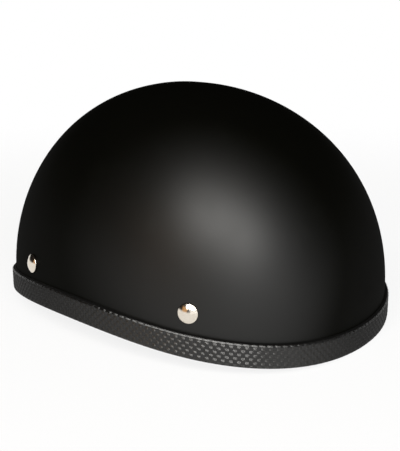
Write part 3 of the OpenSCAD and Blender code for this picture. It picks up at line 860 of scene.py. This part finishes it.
def make_pads():
    """The four pads of the headband, and the crown's."""
    finish = pad_mesh()
    band_pad("brow_cushion", 128, 232, 5, finish, 1, "brow_pad")
    band_pad("nape_cushion", -44, 44, 5, finish, 1, "nape_pad")
    for side, way in SIDES.items():
        band_pad(f"temple_cushion_{side}", 69, 102, 2, finish, way, f"temple_pad_{side}")
    crown_pad(finish)


# Straps

def on_strap(x, y, s):
    """A place in the tucked strap's own frame: s runs up it from the fold, x is square to it."""
    return vectors(FOLD_X + x * math.cos(LEAN) - s * math.sin(LEAN), y,
                   FOLD_Z + x * math.sin(LEAN) + s * math.cos(LEAN))


def strap_section(across=14):
    """Webbing section as shares of its half width and half thickness: two flat faces with a raised
    selvedge, a ridge, near both ends, joined by round edges."""
    flat = np.linspace(-1, 1, across)
    round_part = 0.045
    edge = 1 - round_part
    raised = 1 + 0.16 * ridge(np.abs(flat), 0.86, 0.08)
    a = np.radians([60, 30, 0, -30, -60])
    bulge = edge + round_part * np.cos(a)
    return (joined(flat * edge, bulge, -flat * edge, -bulge),
            joined(raised, np.sin(a), -raised, -np.sin(a)))


def smoothed(points, count):
    """Equal steps along a rounded line through the points, and each step's distance along it. Every
    stretch of the line is a cubic whose slope at a point is half the way between that point's
    neighbours."""
    ends = joined([2 * points[0] - points[1]], points, [2 * points[-1] - points[-2]])
    t = np.linspace(0, 1, 24, endpoint=False)[None, :, None]
    a, b, c, d = (ends[k:len(ends) - 3 + k][:, None] for k in range(4))
    line = 0.5 * (2 * b + (c - a) * t + (2 * a - 5 * b + 4 * c - d) * t ** 2
                  + (3 * b - a - 3 * c + d) * t ** 3)
    line = joined(line.reshape(-1, points.shape[1]), points[-1:])
    length = lengths(line)
    at = np.linspace(0, length[-1], count)
    return np.stack([np.interp(at, length, line[:, k]) for k in range(points.shape[1])], -1), at


def leg_line(end):
    """A left strap leg's centre line in equal steps, and each step's distance along it: flat behind
    its rivet, down the wall, round the fold and up to where two legs meet. With them go half the
    width at the rivet, as a vector, and how far the leg leans in y for a step down from the meeting."""
    place, out = rivet_frame(end)
    level = unit(np.cross([0, 0, 1.0], out))
    upward = np.cross(out, level)
    slope = (place[1] - MEET_Y) / (place[2] - FOLD_Z + MEET_S)
    fold_y = MEET_Y + slope * MEET_S
    run = unit(-upward - level * slope * np.sign(level[1]))
    wide = unit(np.cross(out, run)) * WEB_WIDE / 2
    top = place - out * (TAB_DEPTH + WEB_THICK / 2)
    turn_r, turn_steps = 1.5, 9
    side_top = np.array([FOLD_X + turn_r, fold_y + slope * 2.5, FOLD_Z + 2.5])
    down = [top - run * 9, top, top + run * 7.5, top * 0.45 + side_top * 0.55 + [0.3, 0, 0.5], side_top]
    bend = np.radians(np.linspace(0, -150, turn_steps))
    hairpin = vectors(FOLD_X + turn_r * np.cos(bend), fold_y + slope * np.linspace(0, -2.4, turn_steps),
                      FOLD_Z + turn_r * np.sin(bend))
    climb_s = np.array([4.0, 8.0, 14.0, 22.0, 32.0, 44.0, 55.0, MEET_S + WEB_WIDE * 0.4])
    tucked = on_strap(0 * climb_s, fold_y - slope * climb_s, climb_s)
    centre, at = smoothed(joined(down, hairpin, tucked), 130)
    return centre, at, wide * np.sign(wide[1]), slope


def leg_rings(end):
    """Rings and map of a left strap leg. Its width turns, by a smooth step, from square to the strap
    to level along the fold, and the tucked stretch is cut off along the line that two legs share."""
    centre, at, wide, slope = leg_line(end)
    way = np.sign(slope)
    half_cut = WEB_WIDE / 2 * math.sqrt(1 + slope ** 2)
    share = np.clip((at - 12) / (at[-1] * 0.13), 0, 1)[:, None]
    share = share ** 2 * (3 - 2 * share)
    width = wide * (1 - share) + np.array([0, half_cut, 0]) * share
    normal = unit(np.cross(unit(np.gradient(centre, axis=0)), width)) * WEB_THICK / 2
    w, t = strap_section()
    s = (centre[:, 0] - FOLD_X) * -math.sin(LEAN) + (centre[:, 2] - FOLD_Z) * math.cos(LEAN)
    tucked = (at > at[-1] * 0.42) & (s > 2)
    room = way * (centre[:, 1] - MEET_Y - way * GAP / 2) / half_cut
    limit = np.where(tucked, np.clip(room, -0.97, 1), 1)[:, None]
    shares = way * ((way * w[None, :] + 1) / 2 * (1 + limit) - limit)
    grid = centre[:, None] + width[:, None] * shares[..., None] + normal[:, None] * t[None, :, None]
    across = closed(shares.T).T * WEB_WIDE / 20
    return grid, vectors(at[:, None] / 10, across)


def make_legs():
    """Each strap leg is one webbing, from behind its rivet round the fold and up to where two legs meet.
    """
    finish = webbing()
    for end in RIVETS:
        grid, uv = leg_rings(end)
        for side, sign in SIDES.items():
            leg_piece = surface(f"strap_leg_{end}_{side}", grid * [sign, 1, 1], finish, uv=uv, sharp=60)
            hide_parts(f"tab_{end}_{side}", f"leg_{end}_{side}")
            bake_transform(leg_piece)


def make_chin_straps():
    """Doubled webbing at each side: up one layer, round the crossbar in a teardrop loop and back down
    the other layer."""
    finish = webbing()
    w, t = strap_section()
    for side, sign in SIDES.items():
        bar_s, turned_back = (SOCKET_S, WEB_WIDE * 0.8) if side == "left" else (PLUG_S, TAIL)
        inner, outer = WEB_THICK, WEB_THICK * 2 + GAP
        around = round_corner(BAR_X, bar_s, LOOP_R + WEB_THICK / 2, 205, -25, 12)
        start, parting = MEET_S - WEB_WIDE * 0.45, bar_s - 7
        up = vectors(inner, np.linspace(start, parting, 7))
        down = vectors(outer, np.linspace(parting, bar_s - turned_back, 5))
        path, at = smoothed(joined(up, around, down), 150)
        ahead = unit(np.gradient(path, axis=0))
        x = path[:, :1] - ahead[:, 1:] * t * WEB_THICK / 2
        s = path[:, 1:] + ahead[:, :1] * t * WEB_THICK / 2
        grid = on_strap(x, MEET_Y + w * WEB_WIDE / 2, s) * [sign, 1, 1]
        uv = flat_map(at / 10, closed(w) * WEB_WIDE / 20)
        strap = surface(f"chin_webbing_{side}", grid, finish, uv=uv, sharp=60)
        worn_on(strap, f"{side}_strap", "webbing", f"chin_strap_{side}")


def patch_outline():
    """The patch's outline: a six-sided shield with rounded corners, as (y, s) pairs."""
    half = WEB_WIDE * 0.7
    low, high = MEET_S - half, MEET_S + WEB_WIDE * 0.4
    corners = np.array([[-half, low + half * 0.5], [-half * 0.45, low], [half * 0.45, low],
                        [half, low + half * 0.5], [half * 0.55, high], [-half * 0.55, high]])
    after = np.roll(corners, -1, 0)
    part = np.linspace(0.12, 0.88, 6)[None, :, None]
    points = (corners[:, None] * (1 - part) + after[:, None] * part).reshape(-1, 2)
    return smoothed(closed(points), 121)[0][:-1]


def stitches(name, starts, ends, lift, finish, body):
    """Short threads, each a small spindle from a start to an end. Half a circle over its length says
    how far it stands up, along lift, and how thick it is."""
    rows, columns, thick = 6, 6, 0.42
    t = np.linspace(0.02, 0.98, rows)[None, :, None]
    arc = np.sqrt(1 - (2 * t - 1) ** 2)
    line = starts[:, None] * (1 - t) + ends[:, None] * t + lift * arc * thick
    ahead = unit(ends - starts)
    side = unit(np.cross(ahead, lift))[:, None, None]
    up = np.broadcast_to(lift, ahead.shape)[:, None, None]
    a = ring_angles(columns)[None, None, :, None]
    grid = line[:, :, None] + (np.cos(a) * side + np.sin(a) * up) * (arc * thick)[..., None]
    worn_on(surface(name, grid, finish), body, "webbing")


def make_patches():
    """Leather patches where the legs meet: rings of the outline grow from the middle to the edge on
    one face, round over it and shrink back on the other, where a groove, a ridge turned inwards,
    holds a row of stitches."""
    hide, waxed = leather(), thread()
    outline = patch_outline()
    middle = outline.mean(0)
    face_rows, stitch_row, stitch_count = 9, 0.83, 60
    growing, flat = np.linspace(0.05, 0.93, face_rows), np.ones(face_rows)
    share = joined(growing, [0.97, 0.995, 1, 0.995, 0.97], growing[::-1])
    level = joined(flat, [0.92, 0.6, 0, -0.6, -0.92], -flat)
    ring = middle + (outline - middle) * share[:, None, None]
    groove = ridge(share, stitch_row, 0.035) * (level < 0)
    x = -WEB_THICK / 2 - PATCH_THICK / 2 + (level * PATCH_THICK / 2 * (1 - 0.25 * groove))[:, None]
    run = middle + (outline - middle) * stitch_row
    line, _ = smoothed(closed(run), stitch_count + 1)
    a, b = line[:-1], line[1:]
    gap = 0.16 * (b - a)
    face = -WEB_THICK / 2 - PATCH_THICK + 0.05
    for side, sign in SIDES.items():
        grid = on_strap(x, ring[..., 0] + MEET_Y, ring[..., 1]) * [sign, 1, 1]
        patch = surface(f"leather_patch_{side}", grid, hide)
        worn_on(patch, f"{side}_strap", "patch_leather", f"patch_{side}")
        lift = unit(on_strap(-1.0, 0.0, 0.0) - on_strap(0.0, 0.0, 0.0)) * [sign, 1, 1]
        starts, ends = [on_strap(face, p[:, 0] + MEET_Y, p[:, 1]) * [sign, 1, 1]
                        for p in (a + gap, b - gap)]
        stitches(f"patch_stitches_{side}", starts, ends, lift, waxed, f"{side}_strap")


def make_keeper():
    """The keeper: an oblong loop round both layers, made by powers of a sine and a cosine, with a flat
    ribbed band as its section."""
    play = 0.3
    x0 = WEB_THICK / 2 - play
    x1 = WEB_THICK / 2 + 2 * WEB_THICK + GAP + play
    half_x, half_y = (x1 - x0) / 2 + KEEPER_THICK / 2, WEB_WIDE / 2 + play + KEEPER_THICK / 2
    count, power = 120, 0.22
    a = ring_angles(count)
    oblong = vectors(half_x * signed_power(np.cos(a), power),
                     half_y * signed_power(np.sin(a), power))
    path, at = smoothed(closed(oblong), count + 1)
    path = path[:-1]
    ahead = unit(np.roll(path, -1, 0) - np.roll(path, 1, 0))
    w, t = strap_section(8)
    out = t * KEEPER_THICK / 2 * 0.92
    grid = on_strap((x0 + x1) / 2 + path[:, :1] + ahead[:, 1:] * out,
                    MEET_Y + path[:, 1:] - ahead[:, :1] * out,
                    KEEPER_S + KEEPER_LONG / 2 + w * KEEPER_LONG / 2) * [-1, 1, 1]
    uv = flat_map(at / 10, closed(w) * KEEPER_LONG / 20)
    loop = surface("elastic_keeper", grid, elastic(), uv=uv, looped=True, sharp=60)
    worn_on(loop, "keeper", "elastic", "tail_keeper")


def finish_hardware():
    """The buckle and washers keep their solids: their edges are joined and rounded a little."""
    plastic, plate = moulded_plastic(), zinc()
    for name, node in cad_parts.items():
        buckle = name.startswith(("buckle_", "prong_"))
        if not buckle and not name.startswith("washer_"):
            continue
        node.data.materials.clear()
        node.data.materials.append((plastic if buckle else plate).material)
        weld = node.modifiers.new("joined", "WELD")
        weld.merge_threshold = 0.00001
        bevel = node.modifiers.new("rounded", "BEVEL")
        bevel.width, bevel.segments = (0.0004, 3) if buckle else (0.00012, 2)
        bevel.limit_method, bevel.angle_limit = "ANGLE", math.radians(35)


# Studio

def make_floor():
    """Pale floor, clear from below. To the camera, and in mirrors and glass, it is clear too, but for
    a share of its shadow near the helmet, so that the white room shows through it."""
    pale = rgb(0.9, 0.9, 0.9)
    coat = Finish("studio_floor", {"Base Color": pale, "Roughness": 0.9, "Specular IOR Level": 0.1})
    camera, mirrored = coat.seen_by()
    x, y, _ = coat.parts(coat.place())
    away = coat.ease((x * x + y * y) ** 0.5, 0.2, 0.8)
    clear = coat.node("ShaderNodeBsdfTransparent", {}, {"Color": WHITE})
    beneath = coat.node("ShaderNodeNewGeometry", output="Backfacing")
    coat.covered_by(clear, (camera.most(mirrored) * (0.86 + 0.14 * away)).most(beneath))
    mesh = bpy.data.meshes.new("floor")
    reach = 25.0
    mesh.from_pydata([(-reach, -reach, 0), (reach, -reach, 0), (reach, reach, 0), (-reach, reach, 0)],
                     [], [(0, 1, 2, 3)])
    mesh.materials.append(coat.material)
    floor = bpy.data.objects.new("floor", mesh)
    floor.location = (0, 0, -0.0002)
    scene.collection.objects.link(floor)


def make_room():
    """The world: white to the camera. Mirrors see it white low down and dim and warm higher up, and
    that is also how it lights the helmet."""
    world = bpy.data.worlds.new("studio_room")
    scene.world = world
    world.use_nodes = True
    air = Finish("studio_room", {}, world.node_tree)
    _, _, height = air.parts(air.node("ShaderNodeTexCoord", output="Generated"))
    dim = air.ease(height, 0.03, 0.14)
    room = air.tint(dim, WHITE, rgb(0.006, 0.0052, 0.0045))
    camera, mirrored = air.seen_by()
    tone = air.tint(camera.most(mirrored * (1 - dim)), room, WHITE)
    background = world.node_tree.nodes["Background"]
    world.node_tree.links.new(tone.socket, background.inputs["Color"])
    background.inputs["Strength"].default_value = 1.0


def make_studio():
    """Floor and room, one long softbox high behind the camera, a wide dim fill low beside it and a
    small warm card to the other side."""
    make_floor()
    make_room()
    soft_lamp("softbox", 123.8, 37.5, 1.9, 2.06, 0.62, 53, (1.0, 0.985, 0.95), -15)
    soft_lamp("fill_low", 152, 21.8, 2.6, 3.4, 2.0, 19, (0.97, 0.97, 1.0))
    soft_lamp("warm_card", 78, 18, 2.6, 1.7, 1.3, 4.4, (1.0, 0.55, 0.22))
    scene.view_settings.view_transform = "Standard"


place_camera()
make_shell()
make_trim()
make_rivets()
make_liner()
make_pads()
make_legs()
make_chin_straps()
make_patches()
make_keeper()
finish_hardware()
make_studio()
